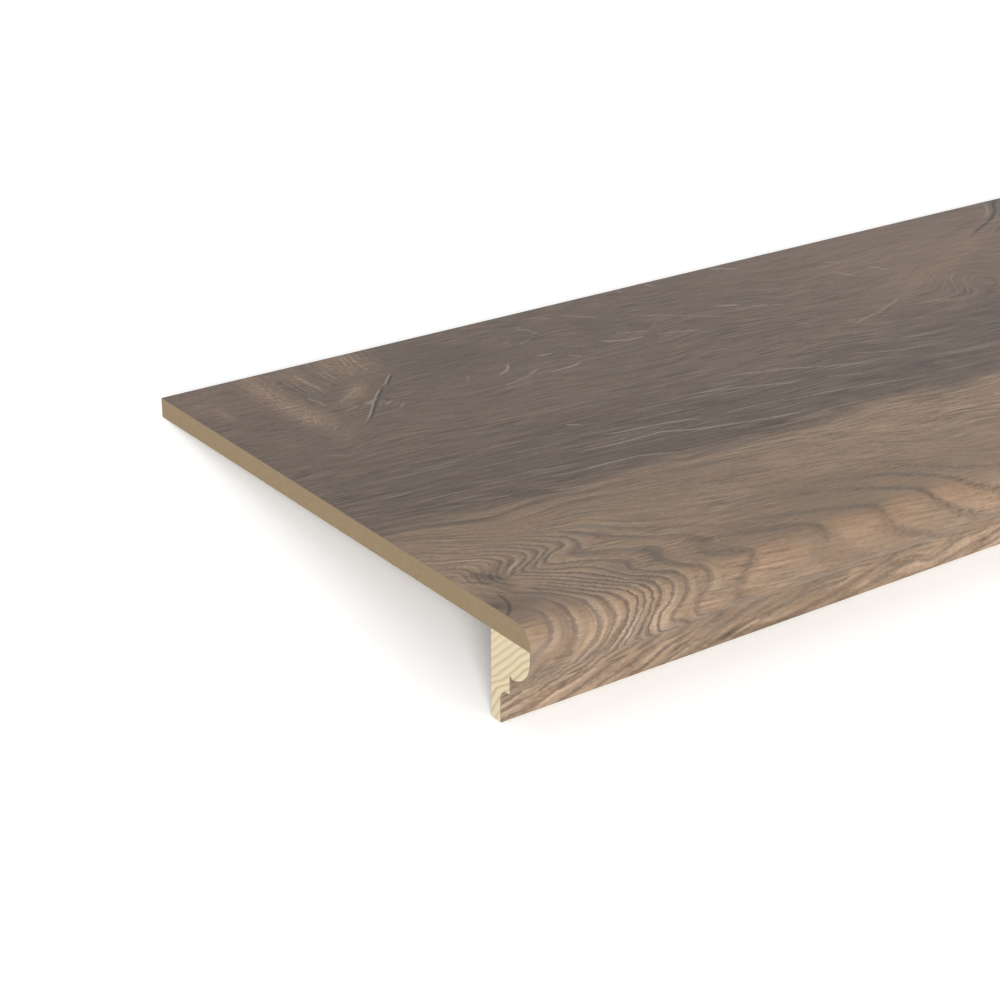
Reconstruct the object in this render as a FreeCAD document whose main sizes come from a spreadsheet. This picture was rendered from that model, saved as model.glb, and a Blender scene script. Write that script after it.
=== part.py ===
import FreeCAD, Part
import math
import os
import Sketcher

# Overlay stair tread with a dropped nosing: a flat fibreboard, a softwood moulding glued
# under its front edge and one sheet of decor laminate wrapped over both.
# X runs along the step, +Y from the nose to the riser, +Z up. The tread lies unheld on a
# level floor: on the foot of its nosing and the back edge of its board, so it leans back.
# Each section below is drawn before that lean, about the inner corner where the back of
# the nosing meets the underside of the board: first number towards the riser, second up.

SIZES = {
    "tread_length": 1000,   # along the step, as sold
    "tread_depth": 380,     # front of the nose to the back edge, over the laminate
    "board_thick": 12,      # fibreboard; its front edge is rounded to the same radius
    "laminate_thick": 0.4,  # decor laminate
    "nosing_height": 50,    # underside of the board to the foot of the nosing
    "nosing_depth": 32.6,   # back of the nosing to its bare front
    "front_flat": 5.9,      # upright part of the bare front, below the board
    "step_thick": 15.8,     # back of the nosing to the step face behind the round nose
    "step_height": 9.4,     # lowest line of the round nose to the ledge below the step face
    "quirk_width": 1.5,     # narrow groove between the round nose and the step face
    "quirk_depth": 1.0,
    "ledge_width": 1.8,     # flat of the ledge, from the step face to the cove
    "apron_thick": 8,       # back of the nosing to the bare front of the apron
}

doc = FreeCAD.newDocument("stair_tread")
sheet = doc.addObject("Spreadsheet::Sheet", "sizes")
for row, (alias, value) in enumerate(SIZES.items(), start=1):
    sheet.set(f"A{row}", alias)
    sheet.set(f"B{row}", str(value))
    sheet.setAlias(f"B{row}", alias)
doc.recompute()

# Sizes that follow from the driving ones
BACK_EDGE = "(sizes.tread_depth - sizes.nosing_depth - sizes.laminate_thick)"
NOSE_RADIUS = "(sizes.nosing_depth - sizes.step_thick - sizes.quirk_width)"
NOSE_DROP = f"(sizes.front_flat + {NOSE_RADIUS})"
GROOVE_EDGE = "(sizes.step_thick + sizes.quirk_width)"
GROOVE_BED = f"({NOSE_DROP} - sizes.quirk_depth)"
LEDGE_DROP = f"({NOSE_DROP} + sizes.step_height)"
COVE_RADIUS = "(sizes.step_thick - sizes.ledge_width - sizes.apron_thick)"

# The lean, and the shift that brings the foot of the nosing down to the floor and the
# middle of the leaning tread over the origin
LEAN = f"atan(sizes.nosing_height / {BACK_EDGE})"
TOP_HEIGHT = "(sizes.board_thick + sizes.laminate_thick)"
REAR_REACH = f"({BACK_EDGE} * cos({LEAN}) + {TOP_HEIGHT} * sin({LEAN}))"
FRONT_REACH = (f"((sizes.nosing_depth - {NOSE_RADIUS}) * cos({LEAN})"
               f" + sizes.front_flat * sin({LEAN}) + {NOSE_RADIUS} + sizes.laminate_thick)")
RESTING_PLACE = (f"placement(vector(0; ({FRONT_REACH} - {REAR_REACH}) / 2;"
                 f" sizes.nosing_height * cos({LEAN})); rotation(vector(1; 0; 0); -{LEAN}))")

# Edges that leave a corner: straight, or a round of a given radius turning left or right
STRAIGHT = None
LEFT = 1
RIGHT = -1

# Bare outline of the top, from the back edge over the rounded front of the board
BOARD_COVER = [
    (BACK_EDGE, "sizes.board_thick", STRAIGHT),
    ("-(sizes.nosing_depth - sizes.board_thick)", "sizes.board_thick", ("sizes.board_thick", LEFT)),
]
# Bare outline of the moulding, from the joint with the board down to its foot
NOSING_COVER = [
    ("-sizes.nosing_depth", "0", STRAIGHT),
    ("-sizes.nosing_depth", "-sizes.front_flat", (NOSE_RADIUS, LEFT)),
    (f"-{GROOVE_EDGE}", f"-{NOSE_DROP}", STRAIGHT),
    (f"-{GROOVE_EDGE}", f"-{GROOVE_BED}", STRAIGHT),
    ("-sizes.step_thick", f"-{GROOVE_BED}", STRAIGHT),
    ("-sizes.step_thick", f"-{LEDGE_DROP}", STRAIGHT),
    (f"-(sizes.apron_thick + {COVE_RADIUS})", f"-{LEDGE_DROP}", (COVE_RADIUS, RIGHT)),
    ("-sizes.apron_thick", f"-({LEDGE_DROP} + {COVE_RADIUS})", STRAIGHT),
    ("-sizes.apron_thick", "-sizes.nosing_height", STRAIGHT),
]


def value_of(expression):
    """Number that an expression of the sheet gives now."""
    return float(sheet.evalExpression(expression))


def round_edge(start, end, radius, turn):
    """Minor arc between two corners, with the numbers of its ends at the two corners."""
    chord = end - start
    reach = math.sqrt(radius ** 2 - (chord.Length / 2) ** 2)
    side = FreeCAD.Vector(-chord.y, chord.x, 0).normalize() * turn
    centre = (start + end) / 2 + side * reach
    angles = [math.atan2(corner.y - centre.y, corner.x - centre.x) for corner in (start, end)]
    circle = Part.Circle(centre, FreeCAD.Vector(0, 0, 1), radius)
    if turn == LEFT:
        return Part.ArcOfCircle(circle, angles[0], angles[1]), (1, 2)
    return Part.ArcOfCircle(circle, angles[1], angles[0]), (2, 1)


def draw_section(sketch, corners, closed):
    """Outline through the corners, each held to the sheet; an open one stops at the last."""
    places = [FreeCAD.Vector(value_of(across), value_of(up), 0) for across, up, edge in corners]
    spans = len(corners) if closed else len(corners) - 1
    ends = []
    for index in range(spans):
        start, end = places[index], places[(index + 1) % len(places)]
        edge = corners[index][2]
        if edge is STRAIGHT:
            number = sketch.addGeometry(Part.LineSegment(start, end))
            ends.append((number, 1, 2))
            continue
        radius, turn = edge
        arc, (first, last) = round_edge(start, end, value_of(radius), turn)
        number = sketch.addGeometry(arc)
        ends.append((number, first, last))
        hold = sketch.addConstraint(Sketcher.Constraint("Radius", number, value_of(radius)))
        sketch.setExpression(f"Constraints[{hold}]", radius)
    for index in range(spans if closed else spans - 1):
        number, _, last = ends[index]
        follower, first, _ = ends[(index + 1) % spans]
        sketch.addConstraint(Sketcher.Constraint("Coincident", number, last, follower, first))
    for index, (across, up, edge) in enumerate(corners):
        if index < spans:
            number, point, _ = ends[index]
        else:
            number, _, point = ends[-1]
        for kind, expression in (("DistanceX", across), ("DistanceY", up)):
            size = value_of(expression)
            hold = sketch.addConstraint(Sketcher.Constraint(kind, -1, 1, number, point, size))
            sketch.setExpression(f"Constraints[{hold}]", expression)


def end_plane(owner):
    """Plane across the step, in which the sections are drawn."""
    return next(part for part in owner.Origin.OriginFeatures if part.Role == "YZ_Plane")


def section_body(label, corners):
    """Body of one section, run along the whole step."""
    body = doc.addObject("PartDesign::Body", label)
    sketch = body.newObject("Sketcher::SketchObject", f"{label}_section")
    sketch.AttachmentSupport = [(end_plane(body), "")]
    sketch.MapMode = "FlatFace"
    doc.recompute()
    draw_section(sketch, corners, closed=True)
    pad = body.newObject("PartDesign::Pad", f"{label}_length")
    pad.Profile = sketch
    pad.SideType = "Symmetric"
    pad.Refine = False
    pad.setExpression("Length", "sizes.tread_length")
    return body


def make_board():
    """Flat fibreboard, front edge rounded over; its underside is a glued strip and a bare face."""
    glued_strip = ("-sizes.nosing_depth", "0", STRAIGHT)
    bare_face = ("0", "0", STRAIGHT)
    back_edge = (BACK_EDGE, "0", STRAIGHT)
    return section_body("mdf_board", BOARD_COVER + [glued_strip, bare_face, back_edge])


def make_nosing():
    """Softwood moulding under the front of the board: round nose, groove, step and apron."""
    back = [("0", "-sizes.nosing_height", STRAIGHT), ("0", "0", STRAIGHT)]
    return section_body("softwood_nosing", NOSING_COVER + back)


def make_laminate():
    """Decor sheet of even thickness, wrapped from the back edge down to the foot."""
    path = doc.addObject("Sketcher::SketchObject", "wrapped_face")
    path.Placement = FreeCAD.Placement(FreeCAD.Vector(), FreeCAD.Rotation(FreeCAD.Vector(1, 1, 1), 120))
    draw_section(path, BOARD_COVER + NOSING_COVER, closed=False)
    sheet_section = doc.addObject("Part::Offset2D", "sheet_section")
    sheet_section.Source = path
    sheet_section.Mode = "Skin"
    sheet_section.Join = "Arc"
    sheet_section.Fill = True
    sheet_section.setExpression("Value", "sizes.laminate_thick")
    laminate = doc.addObject("Part::Extrusion", "decor_laminate")
    laminate.Base = sheet_section
    laminate.DirMode = "Custom"
    laminate.Dir = FreeCAD.Vector(1, 0, 0)
    laminate.Solid = True
    laminate.Symmetric = True
    laminate.setExpression("LengthFwd", "sizes.tread_length")
    return laminate


parts = [make_board(), make_nosing(), make_laminate()]
for part in parts:
    part.Label = part.Name
    part.setExpression("Placement", RESTING_PLACE)
doc.recompute()

for item in doc.Objects:
    if "Invalid" in item.State or "Error" in item.State:
        raise RuntimeError(f"{item.Name} did not recompute: {item.State}")
for part in parts:
    if part.Shape.isNull() or not part.Shape.isValid():
        raise RuntimeError(f"{part.Label} has no valid shape")

os.makedirs("parts", exist_ok=True)
for part in parts:
    part.Shape.exportStep(f"parts/{part.Label}.step")
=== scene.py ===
import math

import bmesh
import bpy
import numpy as np
from mathutils import Matrix, Vector


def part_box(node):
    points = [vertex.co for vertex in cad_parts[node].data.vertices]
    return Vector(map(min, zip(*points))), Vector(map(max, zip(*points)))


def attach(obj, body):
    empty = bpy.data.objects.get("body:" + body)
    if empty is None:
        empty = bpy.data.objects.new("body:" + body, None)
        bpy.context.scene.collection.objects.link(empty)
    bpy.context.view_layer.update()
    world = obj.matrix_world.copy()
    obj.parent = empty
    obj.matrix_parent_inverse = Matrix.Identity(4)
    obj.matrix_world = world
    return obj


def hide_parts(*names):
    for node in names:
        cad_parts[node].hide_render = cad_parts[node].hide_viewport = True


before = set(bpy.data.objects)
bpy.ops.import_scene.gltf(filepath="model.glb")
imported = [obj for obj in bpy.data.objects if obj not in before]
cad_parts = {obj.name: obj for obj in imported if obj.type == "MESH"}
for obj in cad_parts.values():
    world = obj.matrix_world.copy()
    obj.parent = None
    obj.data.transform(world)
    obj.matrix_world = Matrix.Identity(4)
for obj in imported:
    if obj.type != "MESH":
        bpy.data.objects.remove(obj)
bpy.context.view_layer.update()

# Overlay stair tread with a dropped nosing. It lies unheld on the floor, on the foot of its
# nosing and the back edge of its board, so it leans back a little.


# The board: 12 mm medium density fibreboard, sawn to length. Its bare cut edge shows on the
# two ends: tan, without grain, with fine fibre specks and a slightly denser skin.

MDF_COLOUR = (0.276, 0.203, 0.119, 1)
MDF_FIBRE_COLOUR = (0.306, 0.228, 0.136, 1)
MDF_DENSE_COLOUR = (0.256, 0.186, 0.106, 1)
SPECKS_PER_METRE = (900, 700, 1500)
CLUMPS_PER_METRE = (260, 160, 420)
FINE_RELIEF = 0.0002    # height of the grain's bumps


def start_material(name):
    """New material with its node tree and its shader."""
    material = bpy.data.materials.new(name)
    material.use_nodes = True
    return material, material.node_tree, material.node_tree.nodes["Principled BSDF"]


def add_node(tree, kind, feeds=None, **settings):
    """Node with its settings; each feed names a socket and gives its value or what drives it."""
    node = tree.nodes.new("ShaderNode" + kind)
    for name, value in settings.items():
        setattr(node, name, value)
    for socket, source in (feeds or {}).items():
        if isinstance(source, bpy.types.NodeSocket):
            tree.links.new(source, node.inputs[socket])
        else:
            node.inputs[socket].default_value = source
    return node


def calc(tree, operation, *values, clamp=False):
    """Result of a math node."""
    feeds = dict(enumerate(values))
    return add_node(tree, "Math", feeds, operation=operation, use_clamp=clamp).outputs[0]


def mix_colours(tree, factor, below, above, mode="MIX"):
    """Colour of the upper layer laid over the lower one."""
    node = add_node(tree, "Mix", data_type="RGBA", blend_type=mode)
    for socket, source in ((0, factor), (6, below), (7, above)):
        if isinstance(source, bpy.types.NodeSocket):
            tree.links.new(source, node.inputs[socket])
        else:
            node.inputs[socket].default_value = source
    return node.outputs[2]


def stretch(tree, vector, scale, turn=(0, 0, 0), shift=(0, 0, 0)):
    """Coordinates turned, moved and scaled by a mapping node."""
    feeds = {"Vector": vector, "Location": shift, "Rotation": turn, "Scale": scale}
    return add_node(tree, "Mapping", feeds).outputs[0]


def noise(tree, vector, detail=2.0, roughness=0.5):
    """Grey noise, around a half, at the scale of its coordinates."""
    feeds = {"Vector": vector, "Scale": 1.0, "Detail": detail, "Roughness": roughness}
    return add_node(tree, "TexNoise", feeds, noise_dimensions="3D").outputs[0]


def ease(tree, value, start, end):
    """0 before start, 1 after end, smooth between."""
    feeds = {0: value, 1: start, 2: end, 3: 0.0, 4: 1.0}
    return add_node(tree, "MapRange", feeds, interpolation_type="SMOOTHSTEP").outputs[0]


mdf, tree, shader = start_material("bare_fibreboard")
place = add_node(tree, "TexCoord").outputs["Object"]
specks = ease(tree, noise(tree, stretch(tree, place, SPECKS_PER_METRE), detail=3), 0.52, 0.72)
clumps = ease(tree, noise(tree, stretch(tree, place, CLUMPS_PER_METRE), detail=2), 0.35, 0.75)
colour = mix_colours(tree, clumps, MDF_COLOUR, MDF_DENSE_COLOUR)
colour = mix_colours(tree, specks, colour, MDF_FIBRE_COLOUR)
tree.links.new(colour, shader.inputs["Base Color"])
shader.inputs["Roughness"].default_value = 0.85
shader.inputs["Specular IOR Level"].default_value = 0.25
bump = add_node(tree, "Bump", {"Height": specks, "Strength": 0.25, "Distance": FINE_RELIEF})
tree.links.new(bump.outputs[0], shader.inputs["Normal"])
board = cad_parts["mdf_board"]
for slot in board.material_slots:
    slot.material = mdf


# The moulding under the front edge: softwood, run through a moulder to a round nose, a
# groove, a step and a thin apron, and glued under the board. The end grain shows.

NOSING_HEIGHT = 0.050
BACK_EDGE = 0.347       # inner corner to the back edge
PINE_PALE = (0.675, 0.575, 0.390, 1)
PINE_RING = (0.430, 0.315, 0.165, 1)
PINE_RING_GAP = 3.7     # millimetres, as are the other measures of the end grain
RING_SLANT = (0.67, 0.74)       # how fast the rings pass towards the riser, and upwards
RING_WOBBLE = 3.0
APRON_ROOT = 24         # below the board, where the rings turn down into the apron
APRON_TURN = 34
APRON_MIDDLE = 38
APRON_SLANT = 0.33
RING_LEAST = 0.36       # how dark the faintest ring is, and how much more the darkest
RING_VARIES = 0.42
PINE_CELL_AMOUNT = 0.16
PINE_RAY_AMOUNT = 0.14

# The tread leans back about its inner corner: back of the nosing, underside of the board
MM = 1000               # millimetres in a metre
LEAN = math.atan(NOSING_HEIGHT / BACK_EDGE)
INNER_CORNER = Vector((0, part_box("softwood_nosing")[1][1], NOSING_HEIGHT * math.cos(LEAN)))


def product(tree, *values):
    """Product of several values."""
    result = values[0]
    for value in values[1:]:
        result = calc(tree, "MULTIPLY", result, value)
    return result


def one_minus(tree, value, clamp=False):
    """What is left of one."""
    return calc(tree, "SUBTRACT", 1.0, value, clamp=clamp)


pine, tree, shader = start_material("bare_softwood")
place = add_node(tree, "TexCoord").outputs["Object"]
section = stretch(tree, place, (MM, MM, MM), turn=(LEAN, 0, 0),
                  shift=-MM * (Matrix.Rotation(LEAN, 3, "X") @ INNER_CORNER))
_, depth, height = add_node(tree, "SeparateXYZ", {0: section}).outputs
wobble = noise(tree, stretch(tree, section, (0.004, 0.045, 0.045)), detail=1)
below = product(tree, height, -1.0)
in_apron = ease(tree, below, APRON_ROOT, APRON_TURN)
bent = calc(tree, "MULTIPLY_ADD", below, -APRON_SLANT, APRON_SLANT * APRON_MIDDLE)
across = calc(tree, "MULTIPLY_ADD", depth, RING_SLANT[0], product(tree, height, RING_SLANT[1]))
across = calc(tree, "MULTIPLY_ADD", wobble, RING_WOBBLE, across)
across = calc(tree, "SUBTRACT", across, product(tree, bent, in_apron))
ring = calc(tree, "DIVIDE", across, PINE_RING_GAP)
ring_part = calc(tree, "FRACT", ring)
late = product(tree, ease(tree, ring_part, 0.35, 0.86), one_minus(tree, ease(tree, ring_part, 0.88, 1.0)))
ring_number = {1: calc(tree, "FLOOR", ring)}
strength = add_node(tree, "TexWhiteNoise", ring_number, noise_dimensions="1D").outputs[0]
late = product(tree, late, calc(tree, "MULTIPLY_ADD", strength, RING_VARIES, RING_LEAST))
cells = noise(tree, stretch(tree, section, (0.3, 1.6, 1.6)), detail=2)
ray_place = stretch(tree, section, (0.1, 1.1, 0.16), turn=(math.radians(45), 0, 0))
rays = noise(tree, ray_place, detail=2)
colour = mix_colours(tree, late, PINE_PALE, PINE_RING)
cell_amount = product(tree, ease(tree, cells, 0.5, 0.8), PINE_CELL_AMOUNT)
colour = mix_colours(tree, cell_amount, colour, PINE_RING)
ray_amount = product(tree, ease(tree, rays, 0.55, 0.8), PINE_RAY_AMOUNT)
colour = mix_colours(tree, ray_amount, colour, PINE_RING)
tree.links.new(colour, shader.inputs["Base Color"])
bump = add_node(tree, "Bump", {"Height": cells, "Strength": 0.3, "Distance": FINE_RELIEF})
tree.links.new(bump.outputs[0], shader.inputs["Normal"])
shader.inputs["Roughness"].default_value = 0.7
shader.inputs["Specular IOR Level"].default_value = 0.25
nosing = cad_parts["softwood_nosing"]
for slot in nosing.material_slots:
    slot.material = pine


# The face: one decor sheet, 0.4 mm, printed and pressed as oak. It is wrapped in one go
# from the back edge over the top, round the nose, into the groove, over the step and down
# the cove to the foot of the apron, and is glued all over.

TREAD_LENGTH = 1.000
SHEET_THICK = 0.0004
BOARD_THICK = 0.012     # its front edge is rounded to the same radius
NOSING_DEPTH = 0.0326   # back of the nosing to its bare front
FRONT_FLAT = 0.0059     # upright part of the bare front, below the board
STEP_THICK = 0.0158     # back of the nosing to the step face behind the round nose
STEP_HEIGHT = 0.0094    # lowest line of the round nose to the ledge below the step face
GROOVE_WIDTH = 0.0015
GROOVE_DEPTH = 0.0010
LEDGE_WIDTH = 0.0018
APRON_THICK = 0.008
NOSE_RADIUS = NOSING_DEPTH - STEP_THICK - GROOVE_WIDTH
NOSE_DROP = FRONT_FLAT + NOSE_RADIUS
LEDGE_DROP = NOSE_DROP + STEP_HEIGHT
COVE_RADIUS = STEP_THICK - LEDGE_WIDTH - APRON_THICK
FRONT_ROUND_START = BOARD_THICK - NOSING_DEPTH
RESTING_PLACE = Matrix.Translation(INNER_CORNER) @ Matrix.Rotation(-LEAN, 4, "X")
CELLS_DEEP = 140
CUTS_ALONG = (20, 20)   # cuts of the whole length, then of each of its pieces
CLOSE = 1e-5            # metres

bpy.ops.object.select_all(action="DESELECT")
top_depth = BACK_EDGE - FRONT_ROUND_START
top_place = (0, BACK_EDGE - top_depth / 2, BOARD_THICK + SHEET_THICK)
bpy.ops.mesh.primitive_grid_add(x_subdivisions=1, y_subdivisions=CELLS_DEEP, size=1,
                                location=top_place)
sheet = bpy.context.object
sheet.name = "oak_laminate"
sheet.data.name = "oak_laminate"
sheet.scale = (TREAD_LENGTH, top_depth, 1)
bpy.ops.object.transform_apply(location=True, rotation=True, scale=True)
bpy.ops.object.mode_set(mode="EDIT")
bpy.ops.mesh.select_mode(type="EDGE")
bpy.ops.mesh.select_all(action="DESELECT")
grid = bmesh.from_edit_mesh(sheet.data)
for edge in grid.edges:
    if all(vert.co.y < FRONT_ROUND_START + CLOSE for vert in edge.verts):
        edge.select = True
bmesh.update_edit_mesh(sheet.data)


def run_sheet(back, up, steps=1):
    """Carries the free edge of the sheet straight on, in even steps."""
    for _ in range(steps):
        move = {"value": (0, back / steps, up / steps)}
        bpy.ops.mesh.extrude_region_move(TRANSFORM_OT_translate=move)


def wrap_sheet(back, up, turn, steps):
    """Carries the free edge of the sheet round a centre; turn is in quarter turns."""
    bpy.ops.mesh.spin(steps=steps, angle=-turn * math.pi / 2, center=(0, back, up), axis=(1, 0, 0))


wrap_sheet(FRONT_ROUND_START, 0, turn=1, steps=14)
run_sheet(0, -FRONT_FLAT, steps=3)
wrap_sheet(NOSE_RADIUS - NOSING_DEPTH, -FRONT_FLAT, turn=1, steps=16)
wrap_sheet(-STEP_THICK - GROOVE_WIDTH, -NOSE_DROP, turn=1, steps=3)
run_sheet(0, GROOVE_DEPTH - SHEET_THICK)
run_sheet(GROOVE_WIDTH - 2 * SHEET_THICK, 0)
run_sheet(0, SHEET_THICK - GROOVE_DEPTH - STEP_HEIGHT, steps=5)
wrap_sheet(-STEP_THICK, -LEDGE_DROP, turn=1, steps=3)
run_sheet(LEDGE_WIDTH, 0)
wrap_sheet(-APRON_THICK - COVE_RADIUS, -LEDGE_DROP - COVE_RADIUS, turn=-1, steps=7)
run_sheet(0, LEDGE_DROP + COVE_RADIUS - NOSING_HEIGHT, steps=6)
bpy.ops.mesh.select_all(action="SELECT")
bpy.ops.mesh.normals_make_consistent(inside=False)
bpy.ops.object.mode_set(mode="OBJECT")
if sheet.data.polygons[0].normal.z < 0:
    sheet.data.flip_normals()

# Outline of the wrapped side, walked from the back edge, with the length walked in millimetres
strip = bmesh.new()
strip.from_mesh(sheet.data)
end_points = [vert for vert in strip.verts if vert.co.x < 0]
place = max(end_points, key=lambda vert: vert.co.y)
outline, walked, seen = [place.co[1:3]], [0.0], {place}
while len(seen) < len(end_points):
    around = [edge.other_vert(place) for edge in place.link_edges]
    following = next(vert for vert in around if vert.co.x < 0 and vert not in seen)
    walked.append(walked[-1] + (following.co - place.co).length * MM)
    outline.append(following.co[1:3])
    seen.add(following)
    place = following
strip.free()
outline, walked = np.array(outline), np.array(walked)

thickness = sheet.modifiers.new("thickness", "SOLIDIFY")
thickness.thickness = SHEET_THICK
thickness.offset = -1
thickness.use_even_offset = True
thickness.material_offset_rim = 1
sheet.data.materials.append(None)
sheet.data.materials.append(None)
bpy.ops.object.modifier_apply(modifier="thickness")


def outline_gaps(places):
    """Distance of each place from each corner of the outline."""
    return np.linalg.norm(places[:, None, 1:] - outline[None], axis=2)


def points_on_face(shell):
    """For each point of the shell, whether it lies on the outer side of the sheet."""
    places = np.array([vert.co for vert in shell.verts])
    return outline_gaps(places).min(axis=1) < SHEET_THICK / 4


# The glued side stays coarse and loses its doubles
bpy.ops.object.mode_set(mode="EDIT")
bpy.ops.mesh.select_mode(type="VERT")
bpy.ops.mesh.select_all(action="DESELECT")
shell = bmesh.from_edit_mesh(sheet.data)
on_face = points_on_face(shell)
for vert in shell.verts:
    vert.select = not on_face[vert.index]
bmesh.update_edit_mesh(sheet.data)
bpy.ops.mesh.remove_doubles(threshold=SHEET_THICK / 4)

# The face is cut into fine cells
bpy.ops.mesh.select_mode(type="EDGE")
for cuts in CUTS_ALONG:
    bpy.ops.mesh.select_all(action="DESELECT")
    shell = bmesh.from_edit_mesh(sheet.data)
    shell.verts.index_update()
    on_face = points_on_face(shell)
    for edge in shell.edges:
        start, end = edge.verts
        lengthways = abs(start.co.x - end.co.x) > SHEET_THICK
        edge.select = bool(lengthways and on_face[start.index] and on_face[end.index])
    bmesh.update_edit_mesh(sheet.data)
    bpy.ops.mesh.subdivide(number_cuts=cuts)
bpy.ops.object.mode_set(mode="OBJECT")

# Every point of the sheet by its place on the flat sheet before it was wrapped: along is
# from the left end and down is from the back edge over the nose, both in millimetres.
points = np.array([vert.co for vert in sheet.data.vertices])
along = (points[:, 0] + TREAD_LENGTH / 2) * MM
down = walked[outline_gaps(points).argmin(axis=1)]


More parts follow.
